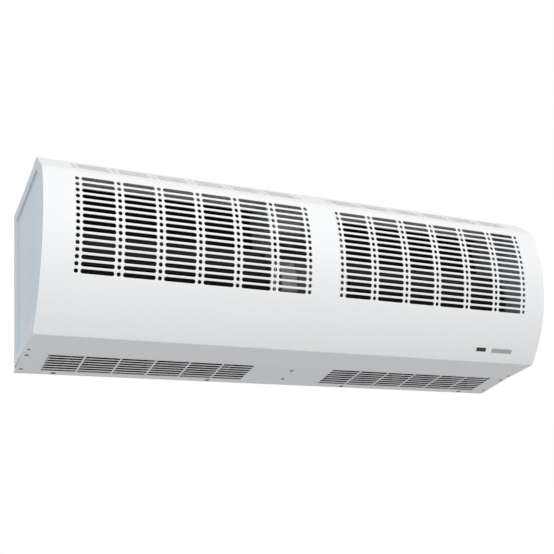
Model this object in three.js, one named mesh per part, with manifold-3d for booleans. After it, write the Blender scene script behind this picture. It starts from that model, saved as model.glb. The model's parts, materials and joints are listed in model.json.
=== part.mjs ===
// Air curtain for a doorway: a wall-hung sheet-metal casing with a bowed, perforated intake front, two
// bladed fan wheels on one double-ended motor, and two slotted outlets that blow down along the wall.
// Millimetres. X runs along the casing, -Y points into the room and +Z points up. The origin is the
// middle of the upper wall rail's face that lies against the wall.
// Sections are drawn as [depth, height]: depth grows towards the room, height grows upwards.
import * as THREE from "three";
import { mergeGeometries, mergeVertices } from "three/addons/utils/BufferGeometryUtils.js";
import Module from "manifold-3d";

const wasm = await Module();
wasm.setup();

// ---- Driving dimensions ----
const casingLength = 800;
const casingHeight = 239; // from the lower front edge to the flat top
const bottomDepth = 127; // from the back panel to the lower front edge
const frontRadius = 223; // the large arc of the perforated front
const frontCentreDrop = 75; // from the flat top down to that arc's centre
const topFaceAngle = 45; // degrees that the sloping face above the large arc leans back
const topBendRadius = 14; // the bend between the large arc and that face
const sheet = 1.2; // sheet metal of the casing and the ducts
const seat = 0.3; // gap between pieces that rest on each other
const wallGap = 17; // the wall rails hold the back panel this far off the wall

// intake perforation: columns of round holes with rows of slots between them
const rowCount = 15;
const rowPitch = 9.05; // along the arc
const bottomRowDrop = 95.3; // the lowest row's height below the large arc's centre
const columnPitch = 55.3;
const fieldEndSpace = 40; // a field's outermost holes lie at least this far from the casing's end
const fieldGap = 51.7; // between the last hole of the left field and the first of the right
const slotLength = 44;
const slotHeight = 5.6;
const dotSize = 5;
const fieldShift = 1.7; // the fields sit this far right of the casing's middle
const topBendSpace = 5.2; // along the large arc, from its highest row to the bend
const topRowSpace = 10.5; // on the sloping face, from the bend to its lowest row
const topRowMargin = 8; // at least this much of that face is left above its highest row
const topBendFacets = 3;
const lowerArcFacets = 5;

// folds of the casing
const seamDepth = 62.3; // where the cover meets the outlet panel underneath
const lipHeight = 6;
const coverTopFlange = 18;
const backTopFlange = 15;
const backBottomFlange = 6.5;
const outletDrop = 3; // the outlet panel falls this much towards the wall
const stripReach = 7.5; // the outlet panel's edge reaches this far behind the back panel

// end panels: shallow pressed trays with a raised border
const trayDepth = 16;
const borderWidth = 17;
const recessDepth = 3;

// outlets
const outletInner = 65; // from the middle of the casing to the near end of each outlet
const outletEndSpace = 28; // at least this much is left beyond each outlet
const outletShift = 1.7; // both sit this far right of the casing's middle
const outletColumnPitch = 50.6;
const outletRows = 7;
const outletRowPitch = 8;
const outletSlotLength = 48;
const outletSlotWidth = 5.2;
const outletFrontMargin = 0.8; // from the seam lip to the first row

// fans
const fanDepth = 98; // the shaft, from the back panel
const fanHeight = 112;
const wheelRadius = 50;
const wheelInner = 66; // from the middle of the casing to the wheel's near disc
const wheelEndSpace = 44; // from the wheel's far disc to the casing's end
const wheelDisc = 2.5;
const bladeCount = 18;
const bladeInnerRadius = 39;
const bladeOuterRadius = 48.6;
const bladeThickness = 2.2; // at the middle of the crescent
const bladeLeanAngle = 14; // degrees that a blade's tip runs ahead of its root
const bladeHollow = 0.28; // share of the lean that is reached halfway out
const hubRadius = 11;
const hubLength = 20;
const shaftRadius = 5;
const fixedFit = 0.1; // between a shaft and what is fixed on it
const runningFit = 0.05; // between a shaft and what it turns in
const boreSides = 12;
const fanPlateGap = 6; // from a wheel's disc to the plate beside it
const plateMargin = 2; // the plates reach this far past the wheel towards the room
const plateChin = 30; // from the shaft to the plate's front corner under the wheel
const plateToe = 8; // from the shaft to the plate's front corner on the casing's bottom
const plateBrow = 17; // from the cover's upper bend back to the plate's top corner

// air ducts round the wheels
const scrollGap = 6;
const scrollStartAngle = 100; // degrees round the shaft, from the room side over the top
const scrollEndAngle = 200;
const scrollSteps = 8;
const scrollFlange = 14;
const ductBack = 6.2; // the duct's rear wall, from the back panel
const tongueGap = 4;
const tongueFoot = 19;
const stayHeight = 14;
const stayInset = 25; // from the wheel's ends to the outer stays

// motor
const statorRadius = 44;
const statorLength = 40;
const airGap = 0.5;
const rotorCoreRadius = 24;
const bellThickness = 2.5;
const bellLength = 22;
const bossRadius = 15;
const bossLength = 8;
const ringThickness = 5; // rubber ring between the motor's boss and its bracket
const ringWidth = 6;
const bracketSheet = 2;
const shaftBeyondHub = 2; // how far the shaft stops short of the hub's inner end

// bearings at the outer ends
const bearingRadius = 14;
const bearingFlangeRadius = 19;
const bearingLength = 11;
const bearingFlange = 2.5;

// wall fixing
const railSheet = 1.5;
const upperRailInset = 80; // from the casing's end to the rail's end
const upperRailDrop = 59; // from the casing's top to the rail's lower edge
const upperRailWeb = 23.5;
const railLipHeight = 12.5;
const railLipStand = 8; // from the wall to the lip
const lowerRailHeight = 40;
const lowerRailRise = 1; // underside of its flange
const lowerRailInset = 11; // from the casing's end to the rail's end
const railHoleInset = 40; // from the rail's end
const railHoleNear = 120; // from the middle
const railHoleSize = [9, 5];
const hangerWidth = 60;
const hangerInset = 70; // from the rail's end to the hanger's middle
const hangerHook = 11;
const hangerDrop = 28;

// display window near the right end
const windowInset = 110; // from the casing's right end to the window's middle
const windowArc = 21; // along the front, from the lower edge to the window's middle
const windowLength = 17.6;
const windowHeight = 5.7;
const windowFlange = 3;
const boardThickness = 1.6;

// electrical pieces in the motor bay
const boardLength = 100;
const boardHeight = 56;
const boardDrop = 13; // from the casing's top to the board's upper edge
const boardStand = 8;
const standWidth = 6;
const relaySize = [19, 17, 15];
const relayPitch = 24;
const relayShift = -6;
const transformerSize = [34, 26, 24];
const transformerPlace = 24;
const capacitorSize = [40, 18.5, 28];
const capacitorTab = [14, 2, 14];
const capacitorGap = 14; // from the board's lower edge down to the capacitor
const terminalSize = [66, 22, 18];
const terminalDepth = 60;
const terminalWays = 6;
const cableHoleRadius = 11;
const cableInset = 100; // from the casing's right end
const cableDrop = 89; // from the casing's top
const grommetBead = 2;

// ---- Values that follow ----
const half = casingLength / 2;
const rad = Math.PI / 180;
const frontCentreHeight = casingHeight - frontCentreDrop;
const upperRailBottom = casingHeight - upperRailDrop;
const upperRailShelf = upperRailBottom + upperRailWeb;
const upperRailEnd = half - upperRailInset;
const hangHeight = upperRailBottom + upperRailWeb / 2;
const frontCentre = [
  bottomDepth - Math.sqrt(frontRadius ** 2 - frontCentreHeight ** 2),
  frontCentreHeight,
];
const rowStep = rowPitch / frontRadius;
const fieldSpace = half - fieldEndSpace - fieldShift - fieldGap / 2;
const columnsPerField = 1 + Math.floor(fieldSpace / columnPitch);
const outletSpace = half - outletEndSpace - outletShift - outletInner;
const outletColumns = Math.floor(outletSpace / outletColumnPitch);
const bottomRowAngle = Math.asin(-bottomRowDrop / frontRadius);
const rowsTop = bottomRowAngle + (rowCount - 0.5) * rowStep;
const rowsBottom = bottomRowAngle - rowStep / 2;
const lowerEdgeAngle = Math.asin(-frontCentreHeight / frontRadius);
const topSlope = topFaceAngle * rad;
const bendStart = rowsTop + topBendSpace / frontRadius;
const bendCentre = polar(frontCentre, frontRadius - topBendRadius, bendStart);
const slopeFoot = polar(bendCentre, topBendRadius, topSlope);
const slopeLength = (casingHeight - slopeFoot[1]) / Math.cos(topSlope);
const topRowCount = 1 + Math.floor((slopeLength - topRowSpace - topRowMargin) / rowPitch);
const apexDepth = slopeFoot[0] - slopeLength * Math.sin(topSlope);
const ceiling = casingHeight - 2 * sheet - seat; // underside of the top panel
const wheelOuter = half - wheelEndSpace;
const windowPlace = half - windowInset;
const cablePlace = [half - cableInset, casingHeight - cableDrop];
const innerPlate = wheelInner - fanPlateGap - sheet; // near face of the plates beside the motor bay
const outerPlate = wheelOuter + fanPlateGap; // near face of the plates that carry the bearings
const ductWidth = [innerPlate + sheet + seat, outerPlate - seat];
const flangeRest = sheet + seat - outletDrop * (1 - backBottomFlange / seamDepth);
const motorEnd = statorLength / 2 + seat + bellLength;
const bossEnd = motorEnd + bossLength;

const paint = { white: 0xf4f5f5, side: 0xb9c6cf, grey: 0xb6b8ba, zinc: 0xaab0b3 };
const dark = { wheel: 0x2a2c2e, rubber: 0x1c1c1c, window: 0x101214, board: 0x1f5a36 };

// ---- Shape helpers ----
function polar(centre, radius, angle) {
  return [centre[0] + radius * Math.cos(angle), centre[1] + radius * Math.sin(angle)];
}

function arc(centre, radius, from, to, steps) {
  const point = (_, i) => polar(centre, radius, from + ((to - from) * i) / steps);
  return Array.from({ length: steps + 1 }, point);
}

function circle(radius, sides, centre = [0, 0]) {
  return arc(centre, radius, 0, 2 * Math.PI, sides).slice(0, sides);
}

// The path moved sideways, to the right of its direction of travel, with mitred corners.
function offsetPath(path, distance) {
  const last = path.length - 1;
  const side = (a, b) => {
    const length = Math.hypot(b[0] - a[0], b[1] - a[1]);
    return [(b[1] - a[1]) / length, (a[0] - b[0]) / length];
  };
  return path.map((point, i) => {
    const into = i > 0 ? side(path[i - 1], point) : side(point, path[i + 1]);
    const out = i < last ? side(point, path[i + 1]) : into;
    const mitre = distance / (1 + into[0] * out[0] + into[1] * out[1]);
    return [point[0] + (into[0] + out[0]) * mitre, point[1] + (into[1] + out[1]) * mitre];
  });
}

// The section of a sheet bent along a path; its thickness lies to the right of the direction of travel.
function bentSheet(path, thickness = sheet) {
  return [...path, ...offsetPath(path, thickness).reverse()];
}

const sectionToAlongX = new THREE.Matrix4().makeBasis(
  new THREE.Vector3(0, 1, 0),
  new THREE.Vector3(0, 0, 1),
  new THREE.Vector3(1, 0, 0),
);

// A prism along X with the section [[depth, height], ...] and any holes through it.
function prism(section, x0, x1, holes = []) {
  const flat = (outline) => {
    const points = outline.map(([depth, height]) => new THREE.Vector2(-depth, height));
    return THREE.ShapeUtils.isClockWise(points) ? points.reverse() : points;
  };
  const shape = new THREE.Shape(flat(section));
  shape.holes = holes.map((hole) => new THREE.Path(flat(hole)));
  const geometry = new THREE.ExtrudeGeometry(shape, { depth: x1 - x0, bevelEnabled: false });
  return geometry.applyMatrix4(sectionToAlongX).translate(x0, 0, 0);
}

// The X range on one side (-1 left, 1 right) between two distances from the middle.
function span(side, near, far) {
  return side > 0 ? [near, far] : [-far, -near];
}

// A turned piece about X: the closed profile is [[radius, x], ...], given anticlockwise.
function turned(profile, sides = boreSides) {
  const points = [...profile, profile[0]].map(([radius, x]) => new THREE.Vector2(radius, x));
  return new THREE.LatheGeometry(points, sides).rotateZ(-Math.PI / 2);
}

// A round disc with its axis along the depth.
function disc(radius, rear, front) {
  const geometry = new THREE.CylinderGeometry(radius, radius, front - rear, boreSides);
  return geometry.translate(0, -(rear + front) / 2, 0);
}

function block(size, centre) {
  const [x, depth, height] = centre;
  return new THREE.BoxGeometry(...size).translate(x, -depth, height);
}

// The radius of a faceted bore's corners whose flats clear a shaft by the given fit.
function boreRadius(fit, sides = boreSides) {
  return (shaftRadius + fit) / Math.cos(Math.PI / sides);
}

function solidOf(geometry) {
  const bare = geometry.clone();
  bare.deleteAttribute("normal");
  bare.deleteAttribute("uv");
  const merged = mergeVertices(bare, 1e-4);
  const vertProperties = new Float32Array(merged.attributes.position.array);
  const triVerts = new Uint32Array(merged.index.array);
  return new wasm.Manifold(new wasm.Mesh({ numProp: 3, vertProperties, triVerts }));
}

function geometryOf(solid) {
  const { vertProperties, triVerts } = solid.getMesh();
  const geometry = new THREE.BufferGeometry();
  geometry.setAttribute("position", new THREE.BufferAttribute(vertProperties, 3));
  geometry.setIndex(new THREE.BufferAttribute(triVerts, 1));
  const faceted = geometry.toNonIndexed();
  faceted.computeVertexNormals();
  return faceted;
}

function join(...pieces) {
  return geometryOf(pieces.map(solidOf).reduce((all, piece) => all.add(piece)));
}

function cut(piece, ...cutters) {
  return geometryOf(cutters.map(solidOf).reduce((left, cutter) => left.subtract(cutter), solidOf(piece)));
}

function piece(name, geometry, color, roughness = 0.5, metalness = 0) {
  const mesh = new THREE.Mesh(geometry, new THREE.MeshStandardMaterial({ color, roughness, metalness }));
  mesh.name = name;
  return mesh;
}

// ---- Casing ----
// A cutter through the cover at a place on its outside, which faces at an angle above level there.
function frontCutter(x, [depth, up], angle, length, height) {
  const through = 4 * sheet;
  return new THREE.BoxGeometry(length, through, height).rotateX(-angle).translate(x, -depth, up);
}

// One row of holes across both fields: round holes at the columns, slots between them.
function holeRow(place, angle) {
  const fieldLength = (columnsPerField - 1) * columnPitch;
  const cutters = [];
  for (const start of [-fieldGap / 2 - fieldLength, fieldGap / 2]) {
    for (let i = 0; i < columnsPerField; i++) {
      const x = fieldShift + start + i * columnPitch;
      cutters.push(frontCutter(x, place, angle, dotSize, dotSize));
      if (i < columnsPerField - 1) {
        cutters.push(frontCutter(x + columnPitch / 2, place, angle, slotLength, slotHeight));
      }
    }
  }
  return cutters;
}

// The flat facet of the front's lower arc that holds the display window.
function windowFacet() {
  const step = (rowsBottom - lowerEdgeAngle) / lowerArcFacets;
  const index = Math.floor(windowArc / (frontRadius * step));
  const angle = lowerEdgeAngle + (index + 0.5) * step;
  const [depth, height] = polar(frontCentre, frontRadius * Math.cos(step / 2), angle);
  return { angle, depth, height, up: windowArc - (index + 0.5) * step * frontRadius };
}

function windowHole() {
  const { angle, depth, height, up } = windowFacet();
  const size = [windowLength + 2 * seat, 4 * sheet, windowHeight + 2 * seat];
  return block(size, [windowPlace, 0, up]).rotateX(-angle).translate(0, -depth, height);
}

// A place on the sloping top face, at a distance up from the bend.
function onSlope(distance) {
  return [
    slopeFoot[0] - distance * Math.sin(topSlope),
    slopeFoot[1] + distance * Math.cos(topSlope),
  ];
}

function frontCover() {
  const path = [
    [apexDepth - coverTopFlange, casingHeight],
    [apexDepth, casingHeight],
    ...arc(bendCentre, topBendRadius, topSlope, bendStart, topBendFacets),
    ...arc(frontCentre, frontRadius, rowsTop, rowsBottom, rowCount),
    ...arc(frontCentre, frontRadius, rowsBottom, lowerEdgeAngle, lowerArcFacets).slice(1),
    [seamDepth + seat / 2, 0],
    [seamDepth + seat / 2, lipHeight],
  ];
  const cutters = [];
  for (let row = 0; row < topRowCount; row++) {
    cutters.push(...holeRow(onSlope(topRowSpace + row * rowPitch), topSlope));
  }
  for (let row = 0; row < rowCount; row++) {
    const angle = rowsTop - (row + 0.5) * rowStep;
    cutters.push(...holeRow(polar(frontCentre, frontRadius, angle), angle));
  }
  cutters.push(windowHole(), lipNotch(-1), lipNotch(1));
  return cut(prism(bentSheet(path), -half, half), mergeGeometries(cutters));
}

// The upturned lips along the seam stop short of the end panels.
function lipNotch(side) {
  const size = [2 * (trayDepth + 1), 8 * sheet, 2 * lipHeight];
  return block(size, [side * half, seamDepth, sheet + seat / 2 + lipHeight]);
}

function backPanel() {
  const path = [
    [backBottomFlange, flangeRest],
    [0, flangeRest],
    [0, casingHeight],
    [backTopFlange, casingHeight],
  ];
  const [x, height] = cablePlace;
  const hole = disc(cableHoleRadius, -2 * sheet, 2 * sheet).translate(x, 0, height);
  return cut(prism(bentSheet(path), -half, half), hole);
}

function topPanel() {
  const front = apexDepth - 2 * sheet;
  const rear = sheet + seat;
  const size = [casingLength, front - rear, sheet];
  return block(size, [0, (front + rear) / 2, ceiling + sheet / 2]);
}

// Where the sloping face and the large arc would meet, both moved in by a distance.
function slopeCorner(inset) {
  const [depth, height] = polar(bendCentre, topBendRadius - inset, topSlope);
  const [forward, up] = [depth - frontCentre[0], height - frontCentre[1]];
  const along = up * Math.cos(topSlope) - forward * Math.sin(topSlope);
  const beyond = forward ** 2 + up ** 2 - (frontRadius - inset) ** 2;
  const reach = along + Math.sqrt(along ** 2 - beyond);
  return [depth + reach * Math.sin(topSlope), height - reach * Math.cos(topSlope)];
}

// The outline that closes the casing's end, inside the cover, the top and the back panel, and that
// outline moved further in.
function endOutline(distance = 0) {
  const inset = sheet + seat + distance;
  const top = ceiling - seat - distance;
  const radius = topBendRadius - inset;
  const bend = arc(bendCentre, radius, topSlope, bendStart, topBendFacets);
  const corner = radius > 0 ? bend : [slopeCorner(inset)];
  const [[foot, footHeight]] = corner;
  const [depth, height] = corner.at(-1);
  const first = Math.atan2(height - frontCentre[1], depth - frontCentre[0]);
  const final = Math.asin((inset - frontCentre[1]) / (frontRadius - inset));
  return [
    [inset, top],
    [foot - (top - footHeight) * Math.tan(topSlope), top],
    ...corner,
    ...arc(frontCentre, frontRadius - inset, first, final, 7).slice(1),
    [inset, inset],
  ];
}

// A pressed tray: flange turned inwards, raised border, recessed middle.
function endPanel(side) {
  const tray = cut(
    prism(endOutline(), ...span(side, half - trayDepth, half)),
    prism(endOutline(sheet), ...span(side, half - trayDepth - 1, half - sheet)),
  );
  const bed = [half - recessDepth - sheet, half];
  const pressed = prism(endOutline(borderWidth - sheet), ...span(side, ...bed));
  const recess = prism(endOutline(borderWidth), ...span(side, half - recessDepth, half + 1));
  return cut(join(tray, pressed), recess);
}

// Height of the outlet panel's upper face at a depth.
function outletPanelTop(depth) {
  return sheet - outletDrop * (1 - Math.max(depth, 0) / seamDepth);
}

function outletPanel() {
  const front = seamDepth - seat / 2;
  const path = [
    [front, lipHeight],
    [front, 0],
    [0, -outletDrop],
    [-stripReach, -outletDrop],
  ];
  const cutters = [];
  const firstRow = front - sheet - outletFrontMargin - outletSlotWidth / 2;
  for (const side of [-1, 1]) {
    for (let column = 0; column < outletColumns; column++) {
      const x = outletShift + side * (outletInner + (column + 0.5) * outletColumnPitch);
      for (let row = 0; row < outletRows; row++) {
        const depth = firstRow - row * outletRowPitch;
        cutters.push(block([outletSlotLength, outletSlotWidth, 3 * outletDrop], [x, depth, 0]));
      }
    }
    cutters.push(lipNotch(side));
  }
  return cut(prism(bentSheet(path), -half, half), mergeGeometries(cutters));
}

// ---- Air ducts ----
function scroll(side) {
  const start = wheelRadius + scrollGap;
  const end = (fanDepth - ductBack) / Math.cos((scrollEndAngle - 180) * rad);
  const growth = Math.log(end / start);
  const spiral = Array.from({ length: scrollSteps + 1 }, (_, i) => {
    const share = i / scrollSteps;
    const angle = (scrollStartAngle + (scrollEndAngle - scrollStartAngle) * share) * rad;
    return polar([fanDepth, fanHeight], start * Math.exp(growth * share), angle);
  });
  const roof = ceiling - seat - sheet;
  const path = [
    [spiral[0][0] + scrollFlange, roof],
    [spiral[0][0], roof],
    ...spiral,
    [ductBack, flangeRest + sheet + seat],
  ];
  return prism(bentSheet(path), ...span(side, ...ductWidth));
}

// The cut-off wall between the intake and the outlet, with its nose close under the wheel.
function tonguePath() {
  const around = (degrees, gap) => polar([fanDepth, fanHeight], wheelRadius + gap, degrees * rad);
  const corner = seamDepth + seat / 2 + 2 * sheet + seat;
  return [
    [corner + tongueFoot, sheet + seat],
    [corner, sheet + seat],
    around(-86, 1.5 * tongueGap),
    around(-75, tongueGap),
    around(-62, 1.5 * tongueGap),
    around(-55, 3.5 * tongueGap),
  ];
}

function tongue(side) {
  return prism(bentSheet(tonguePath()), ...span(side, ...ductWidth));
}

// A flat stay across the duct's mouth, from the tongue to the scroll.
function ductStay(x) {
  const [, foot, nose] = tonguePath();
  const low = lipHeight + 1;
  const high = low + stayHeight;
  const slope = (nose[0] - foot[0]) / (nose[1] - foot[1]);
  const front = (height) => foot[0] + (height - foot[1]) * slope - 1.5 * seat;
  const outline = [
    [ductBack + seat, low],
    [ductBack + seat, high],
    [front(high), high],
    [front(low), low],
  ];
  return prism(outline, x - sheet / 2, x + sheet / 2);
}

// The plate that closes a duct's end; the inner pair also flanks the motor bay.
function fanPlate(side, near, holeRadius) {
  const rear = sheet + seat;
  const front = seamDepth + sheet + 1.5 * seat;
  const back = seamDepth - sheet - 1.5 * seat;
  const wheelFront = fanDepth + wheelRadius + plateMargin;
  const outline = [
    [rear, ceiling - seat],
    [apexDepth - plateBrow, ceiling - seat],
    [wheelFront, fanHeight + wheelRadius],
    [wheelFront, fanHeight],
    [fanDepth + plateChin, fanHeight - wheelRadius],
    [fanDepth + plateToe, sheet + seat],
    [front, sheet + seat],
    [front, lipHeight + seat],
    [back, lipHeight + seat],
    [back, sheet + seat],
    [rear + backBottomFlange, sheet + seat],
    [rear, sheet + seat],
  ];
  const hole = circle(holeRadius / Math.cos(Math.PI / boreSides), boreSides, [fanDepth, fanHeight]);
  return prism(outline, ...span(side, near, near + sheet), [hole]);
}

// ---- Fan wheels and shafts, drawn round their own axis ----
// A forward-curved blade: a crescent with its hollow side towards the turn.
function bladeSection(index) {
  const root = (index / bladeCount) * 2 * Math.PI;
  const middle = (bladeInnerRadius + bladeOuterRadius) / 2;
  const hollow = root + bladeLeanAngle * rad * bladeHollow;
  return [
    polar([0, 0], bladeInnerRadius, root),
    polar([0, 0], middle, hollow - bladeThickness / middle),
    polar([0, 0], bladeOuterRadius, root + bladeLeanAngle * rad),
    polar([0, 0], middle, hollow),
  ];
}

function fanWheel(side) {
  const rim = circle(wheelRadius, bladeCount);
  const bore = circle(boreRadius(fixedFit), boreSides);
  const endDisc = (near) => prism(rim, ...span(side, near, near + wheelDisc), [bore]);
  const hub = (near, far) => prism(circle(hubRadius, boreSides), ...span(side, near, far), [bore]);
  const embed = wheelDisc / 2;
  const bladeRange = span(side, wheelInner + embed, wheelOuter - embed);
  const blades = Array.from({ length: bladeCount }, (_, i) => prism(bladeSection(i), ...bladeRange));
  return join(
    endDisc(wheelInner),
    hub(wheelInner + embed, wheelInner + hubLength),
    endDisc(wheelOuter - wheelDisc),
    hub(wheelOuter - hubLength, wheelOuter - embed),
    ...blades,
  );
}

function motorShaft() {
  const end = wheelInner + hubLength - shaftBeyondHub;
  return prism(circle(shaftRadius, boreSides), -end, end);
}

function rotorCore() {
  const end = statorLength / 2;
  return prism(circle(rotorCoreRadius, boreSides), -end, end, [circle(boreRadius(fixedFit), boreSides)]);
}

function endShaft(side) {
  const near = wheelOuter - hubLength + shaftBeyondHub;
  const far = outerPlate - fanPlateGap / 2 + bearingLength + shaftBeyondHub;
  return prism(circle(shaftRadius, boreSides), ...span(side, near, far));
}

// ---- Motor and bearings, drawn round the shaft ----
function stator() {
  const end = statorLength / 2;
  const inside = circle((rotorCoreRadius + airGap) / Math.cos(Math.PI / boreSides), boreSides);
  return prism(circle(statorRadius, 16), -end, end, [inside]);
}

// An end bell: a shallow cup against the stator with a long boss that holds the shaft's bearing.
function motorBell(side) {
  const near = statorLength / 2 + seat;
  const bore = boreRadius(runningFit);
  const profile = [
    [bore, bossEnd],
    [bore, motorEnd - bellThickness],
    [statorRadius - 3 * bellThickness, motorEnd - bellThickness],
    [statorRadius - 1.5 * bellThickness, near],
    [statorRadius, near],
    [statorRadius - 2 * bellThickness, motorEnd],
    [bossRadius, motorEnd],
    [bossRadius, bossEnd],
  ];
  return turned(profile).rotateZ(side > 0 ? 0 : Math.PI);
}

function mountRing(side) {
  const outer = circle(bossRadius + seat + ringThickness, boreSides);
  const inner = circle((bossRadius + seat) / Math.cos(Math.PI / boreSides), boreSides);
  const near = motorEnd + (bossLength - ringWidth) / 2;
  return prism(outer, ...span(side, near, near + ringWidth), [inner]);
}

// The motor's cradle: two uprights round the rubber rings, joined by feet on the casing's bottom.
function motorBracket() {
  const ringRadius = (bossRadius + 2 * seat + ringThickness) / Math.cos(Math.PI / boreSides);
  const middle = motorEnd + bossLength / 2;
  const rearFoot = [backBottomFlange + seat, seamDepth - sheet - 2 * seat];
  const frontFoot = [seamDepth + sheet + 2 * seat, fanDepth + 20];
  const rest = (depth) => outletPanelTop(depth) + seat;
  const floor = sheet + seat;
  const over = lipHeight + seat;
  const shoulder = ringRadius + 8;
  const yoke = arc([fanDepth, fanHeight], shoulder, 0, Math.PI, 6);
  const outline = [
    ...yoke,
    [rearFoot[0] + 30, fanHeight - 40],
    [rearFoot[0], rest(rearFoot[0])],
    [rearFoot[1], rest(rearFoot[1])],
    [rearFoot[1], over],
    [frontFoot[0], over],
    [frontFoot[0], floor],
    [frontFoot[1], floor],
  ];
  const hole = circle(ringRadius, boreSides, [fanDepth, fanHeight]);
  const upright = (side) => {
    const range = span(side, middle - bracketSheet / 2, middle + bracketSheet / 2);
    return prism(outline, ...range, [hole]);
  };
  const rear = [
    [rearFoot[0], rest(rearFoot[0])],
    [rearFoot[1], rest(rearFoot[1])],
    [rearFoot[1], rest(rearFoot[1]) + bracketSheet],
    [rearFoot[0], rest(rearFoot[0]) + bracketSheet],
  ];
  const front = [
    [frontFoot[0], floor],
    [frontFoot[1], floor],
    [frontFoot[1], floor + bracketSheet],
    [frontFoot[0], floor + bracketSheet],
  ];
  return join(upright(-1), upright(1), prism(rear, -middle, middle), prism(front, -middle, middle));
}

// A flanged sleeve in the outer fan plate.
function endBearing(side) {
  const bore = boreRadius(runningFit);
  const near = outerPlate - fanPlateGap / 2;
  const face = outerPlate + sheet + seat;
  const far = near + bearingLength;
  const profile = [
    [bore, far],
    [bore, near],
    [bearingRadius, near],
    [bearingRadius, face],
    [bearingFlangeRadius, face],
    [bearingFlangeRadius, face + bearingFlange],
    [shaftRadius + 3, far],
  ];
  return turned(profile).rotateZ(side > 0 ? 0 : Math.PI);
}

// ---- Electrical pieces ----
function controlBoard() {
  const rear = sheet + seat;
  const face = rear + boardStand;
  const front = face + boardThickness;
  const top = casingHeight - boardDrop;
  const middle = top - boardHeight / 2;
  const board = block([boardLength, boardThickness, boardHeight], [0, (face + front) / 2, middle]);
  const standDepth = (rear + front) / 2;
  const stands = [-1, 1].flatMap((x) =>
    [-1, 1].map((z) => {
      const place = [x * (boardLength / 2 - standWidth), standDepth, middle + z * (boardHeight / 2 - standWidth)];
      return block([standWidth, standDepth * 2 - rear * 2 - boardThickness / 2, standWidth], place);
    }),
  );
  const relays = [-1, 0, 1].map((i) => {
    const depth = face + relaySize[1] / 2 + boardThickness / 2;
    return block(relaySize, [i * relayPitch + relayShift, depth, top - boardHeight + relaySize[2]]);
  });
  const deep = face + transformerSize[1] / 2 + boardThickness / 2;
  const transformer = block(transformerSize, [transformerPlace, deep, top - transformerSize[2] * 0.75]);
  return join(board, ...stands, ...relays, transformer);
}

function runCapacitor() {
  const [length, thickness, height] = capacitorSize;
  const [tabLength, tabSheet] = capacitorTab;
  const rear = sheet + seat;
  const middle = casingHeight - boardDrop - boardHeight - capacitorGap - height / 2;
  const can = block(capacitorSize, [0, rear + thickness / 2, middle]);
  const reach = (length + tabLength) / 2 - tabSheet / 2;
  return join(can, block(capacitorTab, [reach, rear + tabSheet / 2, middle + height / 4]));
}

// A row of screw terminals under the top panel, open at both ends of each way.
function terminalBlock() {
  const [length, width, height] = terminalSize;
  const top = ceiling - seat;
  const body = block(terminalSize, [0, terminalDepth + width / 2, top - height / 2]);
  const pitch = length / terminalWays;
  const slots = Array.from({ length: terminalWays - 1 }, (_, i) => {
    const x = (i + 1) * pitch - length / 2;
    return block([1.6, width + 2, height / 2], [x, terminalDepth + width / 2, top - height]);
  });
  return cut(body, ...slots);
}

// A rubber grommet in the back panel with an unpierced web where the supply lead comes in.
function cableGrommet() {
  const neck = cableHoleRadius - seat;
  const bead = grommetBead;
  const inside = sheet + seat;
  const body = join(
    disc(neck, -seat - bead / 2, inside + bead / 2),
    disc(neck + 2 * bead, -seat - bead, -seat),
    disc(neck + 2 * bead, inside, inside + bead),
  );
  return cut(body, disc(neck - bead, -2 * bead, 0));
}

// ---- Display, drawn on the plane of the cover's facet: -Y is outwards ----
function displayWindow() {
  const lens = block([windowLength, sheet + seat + 0.2, windowHeight], [0, (0.2 - sheet - seat) / 2, 0]);
  const flange = [windowLength + 2 * windowFlange, sheet, windowHeight + 2 * windowFlange];
  return join(lens, block(flange, [0, -sheet - seat - sheet / 2, 0]));
}

function displayBoard() {
  const size = [windowLength + 16, boardThickness, windowHeight + 12];
  const face = -2 * sheet - 2 * seat;
  const board = block(size, [0, face - boardThickness / 2, 0]);
  return join(board, block([12, 6, 9], [0, face - boardThickness - 2.5, 0]));
}

// ---- Wall fixing, drawn with depth measured from the wall ----
// Screw holes through a rail: one near each end and one at each side of the middle.
function railHoles(railEnd, height) {
  const [length, width] = railHoleSize;
  const places = [railHoleNear, railEnd - railHoleInset];
  return places.flatMap((x) => [-x, x]).map((x) => block([length, 8 * railSheet, width], [x, 0, height]));
}

function upperWallRail() {
  const path = [
    [0, upperRailBottom],
    [0, upperRailShelf],
    [railLipStand, upperRailShelf],
    [railLipStand, upperRailShelf + railLipHeight],
  ];
  const rail = prism(bentSheet(path, railSheet), -upperRailEnd, upperRailEnd);
  return cut(rail, ...railHoles(upperRailEnd, (upperRailBottom + upperRailShelf - railSheet) / 2));
}

function lowerWallRail() {
  const path = [
    [wallGap - seat, lowerRailRise],
    [0, lowerRailRise],
    [0, lowerRailHeight],
  ];
  const end = half - lowerRailInset;
  const rail = prism(bentSheet(path, railSheet), -end, end);
  return cut(rail, ...railHoles(end, lowerRailHeight / 2));
}

// A hook on the back panel that drops over the upper rail's lip.
function hanger() {
  const hookRear = railLipStand - seat - railSheet;
  const top = upperRailShelf + railLipHeight + seat + railSheet;
  const front = wallGap - seat;
  const path = [
    [hookRear, top - hangerHook],
    [hookRear, top],
    [front, top],
    [front, top - hangerDrop],
  ];
  return prism(bentSheet(path, railSheet), -hangerWidth / 2, hangerWidth / 2);
}

// ---- Assembly ----
const finish = {
  white: [paint.white, 0.35, 0],
  side: [paint.side, 0.45, 0.1],
  grey: [paint.grey, 0.5, 0.1],
  zinc: [paint.zinc, 0.4, 0.7],
  wheel: [dark.wheel, 0.5, 0.3],
  steel: [0xc4c7ca, 0.3, 0.9],
  cast: [0x9fa3a6, 0.5, 0.6],
  rubber: [dark.rubber, 0.8, 0],
  window: [dark.window, 0.1, 0],
  board: [dark.board, 0.6, 0],
  plastic: [0xd8d6cc, 0.5, 0],
};

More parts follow.
